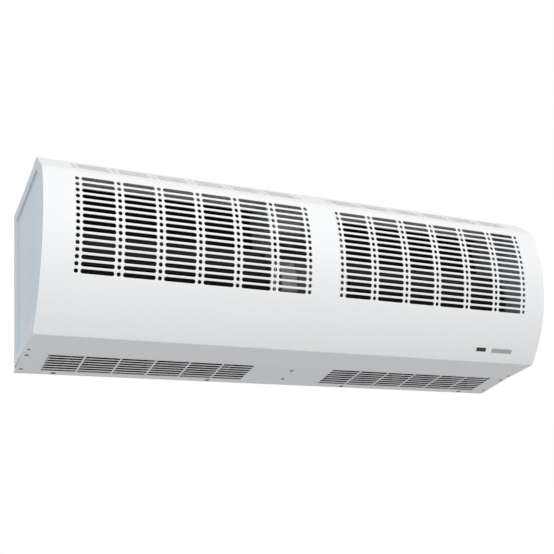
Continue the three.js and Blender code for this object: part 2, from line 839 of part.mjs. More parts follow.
function casingShell() {
  const group = new THREE.Group();
  group.add(
    piece("front_cover", frontCover(), ...finish.white),
    piece("back_panel", backPanel(), ...finish.zinc),
    piece("top_panel", topPanel(), ...finish.zinc),
    piece("outlet_panel", outletPanel(), ...finish.grey),
    piece("left_end_panel", endPanel(-1), ...finish.side),
    piece("right_end_panel", endPanel(1), ...finish.side),
    piece("cable_grommet", cableGrommet().translate(cablePlace[0], 0, cablePlace[1]), ...finish.rubber),
  );
  return group;
}

function airDucts() {
  const group = new THREE.Group();
  const shaftHole = shaftRadius + 10;
  for (const [name, side] of [["left", -1], ["right", 1]]) {
    group.add(
      piece(`${name}_scroll`, scroll(side), ...finish.zinc),
      piece(`${name}_tongue`, tongue(side), ...finish.zinc),
      piece(`${name}_inner_fan_plate`, fanPlate(side, innerPlate, shaftHole), ...finish.zinc),
      piece(`${name}_outer_fan_plate`, fanPlate(side, outerPlate, bearingRadius + seat), ...finish.zinc),
    );
    const middle = (wheelInner + wheelOuter) / 2;
    [wheelInner + stayInset, middle, wheelOuter - stayInset].forEach((place, i) => {
      group.add(piece(`${name}_duct_stay_${i + 1}`, ductStay(side * place), ...finish.zinc));
    });
  }
  return group;
}

function rotor() {
  const group = new THREE.Group();
  group.add(
    piece("motor_shaft", motorShaft(), ...finish.steel),
    piece("motor_rotor_core", rotorCore(), ...finish.cast),
    piece("left_fan_wheel", fanWheel(-1), ...finish.wheel),
    piece("right_fan_wheel", fanWheel(1), ...finish.wheel),
    piece("left_end_shaft", endShaft(-1), ...finish.steel),
    piece("right_end_shaft", endShaft(1), ...finish.steel),
  );
  return group;
}

function motorAndBearings() {
  const group = new THREE.Group();
  group.add(piece("motor_stator", stator(), ...finish.cast));
  for (const [name, side] of [["left", -1], ["right", 1]]) {
    group.add(
      piece(`motor_${name}_bell`, motorBell(side), ...finish.cast),
      piece(`motor_${name}_ring`, mountRing(side), ...finish.rubber),
      piece(`${name}_bearing`, endBearing(side), ...finish.rubber),
    );
  }
  return group;
}

function electrics() {
  const group = new THREE.Group();
  group.add(
    piece("motor_bracket", motorBracket(), ...finish.zinc),
    piece("control_board", controlBoard(), ...finish.board),
    piece("run_capacitor", runCapacitor(), ...finish.plastic),
    piece("terminal_block", terminalBlock(), ...finish.plastic),
  );
  return group;
}

function display() {
  const { angle, depth, height, up } = windowFacet();
  const onFacet = new THREE.Group();
  onFacet.position.set(windowPlace, 0, up);
  onFacet.add(
    piece("display_window", displayWindow(), ...finish.window),
    piece("display_board", displayBoard(), ...finish.board),
  );
  const facet = new THREE.Group();
  facet.add(onFacet);
  facet.rotation.x = -angle;
  facet.position.set(0, -depth, height);
  return facet;
}

function wallFixing() {
  const group = new THREE.Group();
  group.add(
    piece("upper_wall_rail", upperWallRail(), ...finish.zinc),
    piece("lower_wall_rail", lowerWallRail(), ...finish.zinc),
  );
  for (const [name, side] of [["left", -1], ["right", 1]]) {
    const hook = piece(`${name}_hanger`, hanger(), ...finish.zinc);
    hook.position.x = side * (upperRailEnd - hangerInset);
    group.add(hook);
  }
  return group;
}

const fanAxis = new THREE.Group();
fanAxis.position.set(0, -fanDepth, fanHeight);
fanAxis.add(rotor(), motorAndBearings());

const casing = new THREE.Group();
casing.position.y = -wallGap;
casing.add(casingShell(), airDucts(), electrics(), display(), fanAxis);

const airCurtain = new THREE.Group();
airCurtain.add(casing, wallFixing());
airCurtain.position.z = -hangHeight;

export default airCurtain;
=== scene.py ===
# %% [markdown]
# # An air curtain for a doorway
#
# The object is a long sheet-metal casing that hangs on a wall above a door. Its bowed front is punched with
# rows of slots and round holes, two bladed wheels inside draw air through them, and two slotted outlets
# underneath blow it down. Everything here is in metres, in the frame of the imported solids: X along the
# casing, -Y into the room and +Z up.
#
# Each step below first says what a piece is and how it could be made, and then makes it.

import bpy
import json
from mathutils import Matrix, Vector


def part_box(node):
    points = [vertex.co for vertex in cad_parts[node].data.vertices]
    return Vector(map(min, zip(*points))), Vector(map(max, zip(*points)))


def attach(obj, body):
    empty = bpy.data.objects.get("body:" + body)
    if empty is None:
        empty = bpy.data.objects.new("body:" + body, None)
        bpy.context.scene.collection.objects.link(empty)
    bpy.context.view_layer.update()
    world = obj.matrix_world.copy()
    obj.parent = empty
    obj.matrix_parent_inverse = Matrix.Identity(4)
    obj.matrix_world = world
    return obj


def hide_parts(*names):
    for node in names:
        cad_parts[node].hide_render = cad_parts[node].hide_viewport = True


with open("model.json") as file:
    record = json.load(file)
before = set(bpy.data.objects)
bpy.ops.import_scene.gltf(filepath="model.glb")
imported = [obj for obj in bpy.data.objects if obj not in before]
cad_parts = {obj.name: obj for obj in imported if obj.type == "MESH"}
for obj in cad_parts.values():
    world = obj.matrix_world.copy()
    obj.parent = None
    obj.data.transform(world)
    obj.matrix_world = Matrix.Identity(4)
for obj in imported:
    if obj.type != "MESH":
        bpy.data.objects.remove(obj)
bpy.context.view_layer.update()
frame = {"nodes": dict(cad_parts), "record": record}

import json
import math

import bpy
import numpy as np
from mathutils import Matrix, Vector

mm = 0.001
nodes = frame["nodes"]

# %% [markdown]
# ## Places on the casing
#
# The casing's own measures are easier to think in than the frame's: x along the casing from its middle,
# depth from the back panel towards the room, and height above the lower front edge. The solids say where
# the back panel and that edge are, so nothing has to be typed twice.

# %% From casing measures to the frame
back_panel_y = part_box("back_panel")[1].y
lower_edge_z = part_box("front_cover")[0].z
half_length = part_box("front_cover")[1].x / mm


def placed(x, depth, height):
    """Frame coordinates in metres: (x, back - depth, edge + height), for arrays or numbers in millimetres."""
    x, depth, height = np.broadcast_arrays(x, depth, height)
    return np.stack([x * mm, back_panel_y - depth * mm, lower_edge_z + height * mm], axis=-1)


print(f"casing {2 * half_length:.0f} mm long; back panel at y = {back_panel_y:.4f} m")

# %% [markdown]
# ## The camera
#
# The photograph looks up at the unit from below and from its left. The camera stands where the photograph
# was taken from, turned so that its three axes are the ones that the photograph's perspective gives. The
# picture is a crop, so the lens is shifted a little.

# %% Camera
camera_place = Vector((-0.60907, -1.18473, -0.62825))
camera_right = Vector((0.9083, -0.4055, -0.1027))
camera_down = Vector((0.0698, 0.3889, -0.9186))
camera_forward = Vector((0.4125, 0.8272, 0.3815))

camera_data = bpy.data.cameras.new("camera")
camera_data.lens = 57.91
camera_data.sensor_width = 36
camera_data.shift_x = 0.0407
camera_data.shift_y = 0.0767
camera = bpy.data.objects.new("camera", camera_data)
bpy.context.scene.collection.objects.link(camera)
turn = Matrix((camera_right, -camera_down, -camera_forward)).transposed().to_4x4()
camera.matrix_world = Matrix.Translation(camera_place) @ turn
bpy.context.scene.camera = camera
print("camera at", [round(v, 3) for v in camera.location])

# %% [markdown]
# ## Finishes
#
# Powder-coated sheet isn't perfectly even: the coat has a fine orange-peel ripple and its tone wanders a
# little. Galvanised sheet shows the large flat crystals of zinc. Both effects are used by several
# materials, so each is a node group that gives a colour and a roughness, the coat's group a normal too, and
# the shader stays in the material. The patterns read Object coordinates, which are metres, so they have the
# same scale on every piece.


# %% Helpers for node trees
def group_tree(name, inputs, outputs):
    """A shader node group with the given sockets; returns it with its input and output nodes."""
    tree = bpy.data.node_groups.new(name, "ShaderNodeTree")
    for title, kind, value in inputs:
        socket = tree.interface.new_socket(title, in_out="INPUT", socket_type=kind)
        socket.default_value = value
    for title, kind in outputs:
        tree.interface.new_socket(title, in_out="OUTPUT", socket_type=kind)
    return tree, tree.nodes.new("NodeGroupInput"), tree.nodes.new("NodeGroupOutput")


def node(tree, kind, links=None, **settings):
    """A node with its settings made and its inputs linked or given values."""
    made = tree.nodes.new(kind)
    for key, value in settings.items():
        setattr(made, key, value)
    for key, value in (links or {}).items():
        if isinstance(value, bpy.types.NodeSocket):
            tree.links.new(value, made.inputs[key])
        else:
            made.inputs[key].default_value = value
    return made


def mix_colours(tree, factor, first, second):
    """The colour between first and second at the factor; each may be a value or a socket."""
    made = node(tree, "ShaderNodeMix", data_type="RGBA", blend_type="MIX")
    for key, value in ((0, factor), (6, first), (7, second)):
        if isinstance(value, bpy.types.NodeSocket):
            tree.links.new(value, made.inputs[key])
        else:
            made.inputs[key].default_value = value
    return made.outputs[2]


def ramp(tree, value, low, high, low_out=0.0, high_out=1.0):
    """A straight ramp from low_out to high_out as the value goes from low to high."""
    links = {"Value": value, "From Min": low, "From Max": high, "To Min": low_out, "To Max": high_out}
    return node(tree, "ShaderNodeMapRange", links).outputs["Result"]


# %% Node group: powder coat
coat_tree, coat_in, coat_out = group_tree(
    "powder_coat",
    [
        ("Colour", "NodeSocketColor", (0.8, 0.8, 0.8, 1)),
        ("Tone", "NodeSocketFloat", 0.03),
        ("Ripple", "NodeSocketFloat", 0.05),
        ("Roughness", "NodeSocketFloat", 0.4),
    ],
    [("Colour", "NodeSocketColor"), ("Roughness", "NodeSocketFloat"), ("Normal", "NodeSocketVector")],
)
coordinates = node(coat_tree, "ShaderNodeTexCoord").outputs["Object"]
cloud = node(coat_tree, "ShaderNodeTexNoise", {"Vector": coordinates, "Scale": 9.0, "Detail": 3.0})
peel = node(coat_tree, "ShaderNodeTexNoise", {"Vector": coordinates, "Scale": 900.0, "Detail": 1.0})
darker = node(coat_tree, "ShaderNodeMath", {0: cloud.outputs["Fac"], 1: coat_in.outputs["Tone"]})
darker.operation = "MULTIPLY"
toned = mix_colours(coat_tree, darker.outputs[0], coat_in.outputs["Colour"], (0.25, 0.27, 0.3, 1))
rough_shift = ramp(coat_tree, cloud.outputs["Fac"], 0.3, 0.7, -0.05, 0.05)
rough = node(coat_tree, "ShaderNodeMath", {0: coat_in.outputs["Roughness"], 1: rough_shift})
bump_links = {"Height": peel.outputs["Fac"], "Strength": coat_in.outputs["Ripple"], "Distance": 0.0002}
bump = node(coat_tree, "ShaderNodeBump", bump_links)
coat_tree.links.new(toned, coat_out.inputs["Colour"])
coat_tree.links.new(rough.outputs[0], coat_out.inputs["Roughness"])
coat_tree.links.new(bump.outputs["Normal"], coat_out.inputs["Normal"])
print("group:", coat_tree.name, "with", len(coat_tree.nodes), "nodes")

# %% Node group: zinc spangle
zinc_tree, zinc_in, zinc_out = group_tree(
    "zinc_spangle",
    [
        ("Light", "NodeSocketColor", (0.62, 0.64, 0.65, 1)),
        ("Dark", "NodeSocketColor", (0.48, 0.5, 0.52, 1)),
        ("Crystals", "NodeSocketFloat", 90.0),
        ("Roughness", "NodeSocketFloat", 0.4),
    ],
    [("Colour", "NodeSocketColor"), ("Roughness", "NodeSocketFloat")],
)
coordinates = node(zinc_tree, "ShaderNodeTexCoord").outputs["Object"]
bend = node(zinc_tree, "ShaderNodeTexNoise", {"Vector": coordinates, "Scale": 60.0})
shifted = node(zinc_tree, "ShaderNodeVectorMath", {0: bend.outputs["Color"], 3: 0.01}, operation="SCALE")
moved = node(zinc_tree, "ShaderNodeVectorMath", {0: coordinates, 1: shifted.outputs[0]})
crystal = node(
    zinc_tree, "ShaderNodeTexVoronoi", {"Vector": moved.outputs[0], "Scale": zinc_in.outputs["Crystals"]}
)
grey = node(zinc_tree, "ShaderNodeRGBToBW", {"Color": crystal.outputs["Color"]}).outputs["Val"]
mixed = mix_colours(zinc_tree, grey, zinc_in.outputs["Dark"], zinc_in.outputs["Light"])
spread = ramp(zinc_tree, grey, 0.0, 1.0, -0.08, 0.1)
rough = node(zinc_tree, "ShaderNodeMath", {0: zinc_in.outputs["Roughness"], 1: spread})
zinc_tree.links.new(mixed, zinc_out.inputs["Colour"])
zinc_tree.links.new(rough.outputs[0], zinc_out.inputs["Roughness"])
print("group:", zinc_tree.name, "with", len(zinc_tree.nodes), "nodes")

# %% Node group: turned or drawn metal
lines_tree, lines_in, lines_out = group_tree(
    "fine_lines",
    [
        ("Colour", "NodeSocketColor", (0.6, 0.6, 0.6, 1)),
        ("Stretch", "NodeSocketVector", (40.0, 1.0, 1.0)),
        ("Depth", "NodeSocketFloat", 0.15),
        ("Roughness", "NodeSocketFloat", 0.35),
    ],
    [("Colour", "NodeSocketColor"), ("Roughness", "NodeSocketFloat"), ("Normal", "NodeSocketVector")],
)
coordinates = node(lines_tree, "ShaderNodeTexCoord").outputs["Object"]
stretched = node(
    lines_tree, "ShaderNodeVectorMath", {0: coordinates, 1: lines_in.outputs["Stretch"]}, operation="MULTIPLY"
)
streak_links = {"Vector": stretched.outputs[0], "Scale": 120.0, "Detail": 3.0}
streak = node(lines_tree, "ShaderNodeTexNoise", streak_links)
shade = node(lines_tree, "ShaderNodeMath", {0: streak.outputs["Fac"], 1: 0.3}, operation="MULTIPLY")
streaked = mix_colours(lines_tree, shade.outputs[0], lines_in.outputs["Colour"], (0.12, 0.12, 0.13, 1))
spread = ramp(lines_tree, streak.outputs["Fac"], 0.3, 0.7, -0.06, 0.08)
rough = node(lines_tree, "ShaderNodeMath", {0: lines_in.outputs["Roughness"], 1: spread})
bump_links = {"Height": streak.outputs["Fac"], "Strength": lines_in.outputs["Depth"], "Distance": 0.0002}
bump = node(lines_tree, "ShaderNodeBump", bump_links)
lines_tree.links.new(streaked, lines_out.inputs["Colour"])
lines_tree.links.new(rough.outputs[0], lines_out.inputs["Roughness"])
lines_tree.links.new(bump.outputs["Normal"], lines_out.inputs["Normal"])
print("group:", lines_tree.name, "with", len(lines_tree.nodes), "nodes")


# %% Materials from the groups
def material(name, group, values, **shader):
    """A Principled material whose colour, roughness and normal come from a group with its own values."""
    made = bpy.data.materials.new(name)
    made.use_nodes = True
    tree = made.node_tree
    principled = tree.nodes["Principled BSDF"]
    effect = node(tree, "ShaderNodeGroup", node_tree=group)
    for key, value in values.items():
        effect.inputs[key].default_value = value
    for source, target in (("Colour", "Base Color"), ("Roughness", "Roughness"), ("Normal", "Normal")):
        if source in effect.outputs:
            tree.links.new(effect.outputs[source], principled.inputs[target])
    for key, value in shader.items():
        principled.inputs[key.replace("_", " ")].default_value = value
    return made


def grey_of(value, blue=0.0):
    """A grey whose blue is stronger by the given share, and its green by half of it."""
    return (value, value * (1 + blue / 2), value * (1 + blue), 1)


white_coat = material(
    "white_powder_coat",
    coat_tree,
    {"Colour": grey_of(0.85, 0.004), "Tone": 0.012, "Ripple": 0.05, "Roughness": 0.42},
)
# Partly painted reflection and shade: the ends' pale coat gets a blue tint and a darker tone that stand in for
# the blue reflection and the shade falling on them.
end_coat_and_painted_reflection = material(
    "blue_grey_coat_and_painted_reflection",
    coat_tree,
    {"Colour": (0.605, 0.705, 0.775, 1), "Tone": 0.16, "Ripple": 0.04, "Roughness": 0.36},
)
under_coat = material(
    "grey_powder_coat",
    coat_tree,
    {"Colour": grey_of(0.82, 0.012), "Tone": 0.02, "Ripple": 0.05, "Roughness": 0.45},
)
# Painted shade: a near-black colour for the scrolls that stands in for the shade inside the casing behind the
# slots.
painted_shade_black = material(
    "painted_shade_black",
    coat_tree,
    {"Colour": grey_of(0.006), "Tone": 0.02, "Ripple": 0.2, "Roughness": 0.8},
    Specular_IOR_Level=0.1,
)
wheel_coat = material(
    "wheel_black",
    coat_tree,
    {"Colour": grey_of(0.012), "Tone": 0.1, "Ripple": 0.1, "Roughness": 0.6},
    Specular_IOR_Level=0.15,
)
strip_print = material(
    "grey_strip", coat_tree, {"Colour": grey_of(0.4, 0.01), "Tone": 0.05, "Ripple": 0.02, "Roughness": 0.5}
)
zinc = material("zinc_sheet", zinc_tree, {"Crystals": 90.0, "Roughness": 0.42}, Metallic=0.6)
case_plastic = material(
    "ivory_plastic",
    coat_tree,
    {"Colour": (0.7, 0.67, 0.58, 1), "Tone": 0.05, "Ripple": 0.1, "Roughness": 0.5},
)
rubber = material(
    "rubber", coat_tree, {"Colour": grey_of(0.02), "Tone": 0.1, "Ripple": 0.4, "Roughness": 0.8}
)
board_green = material(
    "board_green",
    coat_tree,
    {"Colour": (0.01, 0.045, 0.022, 1), "Tone": 0.15, "Ripple": 0.2, "Roughness": 0.4},
)
tinted = material(
    "tinted_window",
    coat_tree,
    {"Colour": grey_of(0.006, 0.1), "Tone": 0.02, "Ripple": 0.0, "Roughness": 0.12},
    Coat_Weight=0.5,
)
steel = material(
    "ground_steel",
    lines_tree,
    {"Colour": grey_of(0.6), "Stretch": (40, 1, 1), "Roughness": 0.3},
    Metallic=1.0,
)
cast = material(
    "cast_housing",
    lines_tree,
    {"Colour": grey_of(0.42), "Stretch": (1, 1, 1), "Roughness": 0.55},
    Metallic=0.4,
)
stack = material(
    "laminations",
    lines_tree,
    {"Colour": grey_of(0.16), "Stretch": (30, 1, 1), "Roughness": 0.55},
    Metallic=0.6,
)
screw_steel = material(
    "plated_screw",
    lines_tree,
    {"Colour": grey_of(0.3), "Stretch": (8, 8, 1), "Roughness": 0.35},
    Metallic=0.8,
)
print("materials:", len(bpy.data.materials))

# %% [markdown]
# ## Surfaces as arrays
#
# Every new piece is a list of corner points and a list of faces, worked out as whole numpy arrays. A helper
# puts them into a mesh, shades the bends smoothly and leaves the folds sharp. The mesh's points are already
# in the frame, so the object itself stays at the origin.


# %% Mesh helpers
def make_piece(name, points, faces, body, look, stands_for=(), sharp=32):
    """A mesh object from an (n, 3) array and a list of index arrays, riding on a body."""
    mesh = bpy.data.meshes.new(name)
    mesh.from_pydata(points.tolist(), [], [face.tolist() for group in faces for face in group])
    mesh.validate()
    mesh.shade_smooth()
    mesh.set_sharp_from_angle(angle=math.radians(sharp))
    mesh.materials.append(look)
    made = bpy.data.objects.new(name, mesh)
    bpy.context.scene.collection.objects.link(made)
    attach(made, body)
    if stands_for:
        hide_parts(*stands_for)
    print(f"{name}: {len(mesh.vertices)} points, {len(mesh.polygons)} faces")
    return made


def loft_faces(rings, per_ring, closed=True):
    """Quads between rings that follow each other: ring r, point p has index r * per_ring + p."""
    columns = per_ring if closed else per_ring - 1
    ring, point = np.meshgrid(np.arange(rings - 1), np.arange(columns), indexing="ij")
    following = (point + 1) % per_ring
    corners = [ring * per_ring + point, ring * per_ring + following]
    corners += [(ring + 1) * per_ring + following, (ring + 1) * per_ring + point]
    return np.stack(corners, axis=-1).reshape(-1, 4)


# %% [markdown]
# ## The bowed casing as one bent line
#
# A folded sheet is easiest to draw flat. Its section is a line that runs from the flange on top, down a
# flat face that slopes at 45 degrees, round a bend, down the large front arc, round the fold at the lower
# edge and up into the lip at the seam. A point on the sheet is then x, the distance s along that line, and
# how deep it lies in the metal.


# %% The bent line
def arc_points(centre, radius, start, end, step=0.25):
    """Points centre + radius * (cos a, sin a), for a from start to end in steps of about so many degrees."""
    angle = np.linspace(start, end, max(2, int(abs(math.degrees(end - start)) / step)))
    return np.stack([centre[0] + radius * np.cos(angle), centre[1] + radius * np.sin(angle)], axis=-1)


def rounded_corner(before, corner, after, radius, steps=8):
    """The arc that replaces a corner: it touches both sides at radius * tan(turn / 2) from the corner."""
    into = (corner - before) / np.linalg.norm(corner - before)
    out = (after - corner) / np.linalg.norm(after - corner)
    turn_angle = math.atan2(into[0] * out[1] - into[1] * out[0], float(into @ out))
    reach = radius * math.tan(abs(turn_angle) / 2)
    side = np.array([-into[1], into[0]]) * math.copysign(1, turn_angle)
    centre = corner - into * reach + side * radius
    spoke = -side * radius
    swing = np.linspace(0, turn_angle, steps)
    x = spoke[0] * np.cos(swing) - spoke[1] * np.sin(swing)
    y = spoke[0] * np.sin(swing) + spoke[1] * np.cos(swing)
    return centre + np.stack([x, y], axis=-1)


class BentLine:
    """A section line given by points; it gives the point and the outward normal at any distance along it."""

    def __init__(self, points):
        self.points = points
        steps = np.linalg.norm(np.diff(points, axis=0), axis=1)
        self.distance = np.concatenate([[0], np.cumsum(steps)])
        along = np.gradient(points, self.distance, axis=0)
        self.along = along / np.linalg.norm(along, axis=1, keepdims=True)

    def at(self, s):
        """The point, and the normal to the left of the way along the line, by interpolation."""
        point = np.stack([np.interp(s, self.distance, self.points[:, k]) for k in (0, 1)], axis=-1)
        along = np.stack([np.interp(s, self.distance, self.along[:, k]) for k in (0, 1)], axis=-1)
        along = along / np.linalg.norm(along, axis=-1, keepdims=True)
        return point, np.stack([-along[..., 1], along[..., 0]], axis=-1)

    def nearest(self, point):
        """The distance along the line of the given point's nearest place."""
        return float(self.distance[np.argmin(np.linalg.norm(self.points - np.array(point), axis=1))])


casing_height = 239
bottom_depth = 127
sheet = 1.2
gap = 0.3
front_radius = 223
centre_below_top = 75
front_centre_height = casing_height - centre_below_top
front_reach = math.sqrt(front_radius**2 - front_centre_height**2)
front_centre = np.array([bottom_depth - front_reach, front_centre_height])
row_pitch = 9.05
row_count = 15
row_angle = row_pitch / front_radius
lowest_row_drop = 95.3
lowest_row_angle = math.asin(-lowest_row_drop / front_radius)
rows_top_angle = lowest_row_angle + (row_count - 0.5) * row_angle
lower_edge_angle = math.asin(-front_centre_height / front_radius)
top_slope = math.radians(45)
bend_radius = 14
bend_space = 5.2
bend_angle = rows_top_angle + bend_space / front_radius
seam_depth = 62.3
lip_height = 6
top_flange = 18
top_fold, edge_fold, lip_fold, wall_fold = 3, 1.6, 1.4, 6


def around(centre, radius, angle):
    """The point centre + radius * (cos angle, sin angle)."""
    return np.array([centre[0] + radius * math.cos(angle), centre[1] + radius * math.sin(angle)])


bend_centre = around(front_centre, front_radius - bend_radius, bend_angle)
slope_foot = around(bend_centre, bend_radius, top_slope)
slope_length = (casing_height - slope_foot[1]) / math.cos(top_slope)
apex = slope_foot + slope_length * np.array([-math.sin(top_slope), math.cos(top_slope)])
bend_arc = arc_points(bend_centre, bend_radius, top_slope, bend_angle, 2)
front_arc = arc_points(front_centre, front_radius, bend_angle, lower_edge_angle)
flange_end = apex - [top_flange, 0]
lower_edge = np.array([bottom_depth, 0.0])
seam_corner = np.array([seam_depth + gap / 2, 0.0])
cover_line = BentLine(
    np.concatenate([
        [flange_end],
        rounded_corner(flange_end, apex, slope_foot, top_fold),
        np.linspace(apex, slope_foot, 9)[1:-1],
        bend_arc[:-1],
        front_arc[:-2],
        rounded_corner(front_arc[-3], lower_edge, seam_corner, edge_fold),
        rounded_corner(lower_edge, seam_corner, seam_corner + [0, lip_height], lip_fold),
        [seam_corner + [0, lip_height]],
    ])
)
print(f"cover: {cover_line.distance[-1]:.1f} mm of sheet from the top flange to the lip")

# %% [markdown]
# ## A sheet with punched holes
#
# Cutting over four hundred holes with booleans gives slow, untidy meshes. Here the flat sheet is a grid of
# lines instead, laid so that every hole has a rectangle of grid cells to itself. Those cells are left out,
# and a ring of faces joins the rectangle's edge to the hole: each point on the edge is pulled towards the
# hole's middle line until it is the hole's radius away, which gives a slot, a round hole or a window with
# round corners from one formula. A second ring makes the slightly rounded edge that the punch leaves.


# %% The punched sheet
inside_box = 0.03  # how far the sheets stay behind their line, so that no point passes the solids' box


class PunchedSheet:
    """A sheet with holes, drawn flat in x and s, with thickness, and wrapped round a bent line at the end."""

    def __init__(self, x_lines, s_lines, thickness):
        self.x, self.s = np.array(x_lines, float), np.array(s_lines, float)
        self.thickness = thickness
        self.open = np.zeros((len(self.x) - 1, len(self.s) - 1), bool)
        grid = np.stack(np.meshgrid(self.x, self.s, indexing="ij"), axis=-1).reshape(-1, 2)
        self.layer = len(grid)
        self.flat = [np.column_stack([grid, np.full(self.layer, depth)]) for depth in (0, thickness)]
        self.count = 2 * self.layer
        self.faces = []

    def index(self, i, j):
        """The number of the grid point on line i across and line j down."""
        return i * len(self.s) + j

    def border(self, i0, i1, j0, j1):
        """The grid points round a rectangle of cells: down, along, up and back."""
        down, along = np.arange(j0, j1), np.arange(i0, i1)
        sides = [(np.full(len(down), i0), down), (along, np.full(len(along), j1))]
        sides += [(np.full(len(down), i1), j0 + j1 - down), (i0 + i1 - along, np.full(len(along), j0))]
        return np.concatenate([self.index(i, j) for i, j in sides])

    def punch(self, x_range, s_range, half_size, radius, edge=0.35):
        """Opens the cells in the ranges and leads their edge to a hole: each point goes to
        core + radius * (point - core) / |point - core|, where core is the point clipped to the middle."""
        i0, i1 = (int(np.argmin(abs(self.x - value))) for value in x_range)
        j0, j1 = (int(np.argmin(abs(self.s - value))) for value in s_range)
        self.open[i0:i1, j0:j1] = True
        ring = self.border(i0, i1, j0, j1)
        point = self.flat[0][ring, :2]
        centre = np.array([sum(x_range) / 2, sum(s_range) / 2])
        core_size = np.array(half_size) - radius
        core = np.clip(point, centre - core_size, centre + core_size)
        outward = (point - core) / np.linalg.norm(point - core, axis=1, keepdims=True)
        rings = [(radius + edge, 0), (radius, edge * 0.6), (radius, self.thickness)]
        start = self.count
        for reach, depth in rings:
            self.flat.append(np.column_stack([core + outward * reach, np.full(len(ring), depth)]))
        self.count += len(rings) * len(ring)
        per_ring = len(ring)
        new = [start + k * per_ring + np.arange(per_ring) for k in range(len(rings))]
        loops = [ring, *new, ring + self.layer]
        for outer, inner in zip(loops, loops[1:]):
            quads = [outer, np.roll(outer, -1), np.roll(inner, -1), inner]
            self.faces.append(np.stack(quads, axis=-1))

    def finish(self, line, reach=None):
        """Closes the sheet and wraps it: place = line(s) - normal(s) * depth, with x within reach(s)."""
        i, j = np.nonzero(~self.open)
        corners = [self.index(i, j), self.index(i, j + 1), self.index(i + 1, j + 1), self.index(i + 1, j)]
        quads = np.stack(corners, axis=-1)
        rim = self.border(0, len(self.x) - 1, 0, len(self.s) - 1)
        following = np.roll(rim, -1)
        walls = np.stack([rim + self.layer, following + self.layer, following, rim], axis=-1)
        self.faces += [quads, quads[:, ::-1] + self.layer, walls]
        x, s, depth = np.concatenate(self.flat).T
        if reach is not None:
            x = np.clip(x, -reach(s), reach(s))
        section, normal = line.at(s)
        section = section - normal * (depth[:, None] + inside_box)
        used, faces = np.unique(np.concatenate([face.ravel() for face in self.faces]), return_inverse=True)
        return placed(x, section[:, 0], section[:, 1])[used], [faces.reshape(-1, 4)]


# %% [markdown]
# ## The cover's lines
#
# Along the casing, each field is a column of round holes, a column of slots, and so on. Round holes get six
# cells each way, and slots get their lines at the ends, where the outline bends. Down the sheet there are
# three rows on the sloping face, the bend, fifteen rows on the large arc, and the plain lower front with the
# display window. The fields sit a little right of the casing's middle. Each screw underneath has a square of
# cells to itself.

# %% Places of the screws underneath
screw_cell = 9.0
screw_radius = {"strip": 3.9, "middle": 3.0, "end": 2.6}
end_screws = [(394.7, 73.5), (393.6, 54.6), (392.6, 8.0)]
screw_places = [("strip", x, -2.1) for x in (-346.6, -116.1, 115.6, 347.1)]
screw_places += [("middle", 2.0, depth) for depth in (48.0, 16.0)]
screw_places += [("end", side * x, depth) for side in (-1, 1) for x, depth in end_screws]


def screw_lines(centre):
    """The five grid lines of a screw's cell."""
    return list(centre + np.linspace(-0.5, 0.5, 5) * screw_cell)


print("screws underneath:", len(screw_places))

# %% Lines across the cover
column_pitch = 55.3
columns_per_field = 7
field_gap = 51.7
field_shift = 1.7
slot_length, slot_height = 44.2, 5.9
dot_size = 5.7
dot_cell = 8.1
slot_cell = column_pitch - dot_cell
window_from_end, window_arc = 110, 21  # from the casing's end, and up the front arc from the lower edge
window_place = half_length - window_from_end
window_size = (17.6 + 2 * gap, 5.7 + 2 * gap)
window_margin, window_corner = 4, 0.8
window_cell = (window_size[0] + window_margin, window_size[1] + window_margin)

field_length = (columns_per_field - 1) * column_pitch
dot_columns, slot_columns = [], []
for field_start in (-field_gap / 2 - field_length, field_gap / 2):
    for column in range(columns_per_field):
        place = field_shift + field_start + column * column_pitch
        dot_columns.append((place - dot_cell / 2, place + dot_cell / 2))
        if column < columns_per_field - 1:
            slot_columns.append((place + dot_cell / 2, place + column_pitch - dot_cell / 2))

slot_end_lines = np.array([0, 1.6, 3.1, (slot_cell - slot_length) / 2 + slot_height / 2])
x_lines = [-half_length, 0, half_length]
for low, high in dot_columns:
    x_lines += list(np.linspace(low, high, 7))
for low, high in slot_columns:
    x_lines += [*(low + slot_end_lines), *(high - slot_end_lines)]
x_lines += list(window_place + np.linspace(-0.5, 0.5, 5) * window_cell[0])
cover_screws = [place for place in screw_places if place[2] > seam_depth]
for _, place, _ in cover_screws:
    x_lines += screw_lines(place)
x_lines = np.unique(np.round(x_lines, 6))

# %% Lines down the cover
front_start = cover_line.nearest(front_arc[0])
edge_distance = cover_line.nearest(lower_edge)
slope_start = cover_line.nearest(slope_foot)
row_centres = front_start + bend_space + row_pitch * (np.arange(row_count) + 0.5)
top_row_space = 10.5
top_row_count = 3
top_row_centres = slope_start - top_row_space - row_pitch * np.arange(top_row_count)[::-1]
window_centre = front_start + front_radius * (bend_angle - lower_edge_angle) - window_arc
rows = [*top_row_centres, *row_centres]
s_lines = [0, 8, 15, *np.linspace(16.5, 19.5, 5)]  # the top flange, with close lines at its fold
for centre in rows:
    s_lines += list(centre + np.linspace(-0.5, 0.5, 7) * row_pitch)
window_lines = window_centre + np.linspace(-0.5, 0.5, 5) * window_cell[1]
last_row = row_centres[-1] + row_pitch / 2
s_lines += list(np.linspace(slope_start, front_start, 9))
s_lines += list(np.linspace(last_row, window_lines[0], 14)[1:-1])
s_lines += list(window_lines)
s_lines += list(np.linspace(window_lines[-1], edge_distance - 2, 5)[1:])
s_lines += list(edge_distance + np.linspace(-1.2, 1.2, 7))
lip_distance = cover_line.nearest(seam_corner)
s_lines += list(edge_distance + np.linspace(2, 40, 3))
cover_seam = cover_line.nearest([seam_depth, 0])
for _, _, depth in cover_screws:
    s_lines += screw_lines(cover_seam + seam_depth - depth)
s_lines += list(lip_distance + np.linspace(-1.8, 1.8, 8))  # close lines again at the lip's fold
s_lines += [cover_line.distance[-1]]
s_lines = np.unique(np.round(s_lines, 6))
print(f"cover grid: {len(x_lines)} by {len(s_lines)} lines")

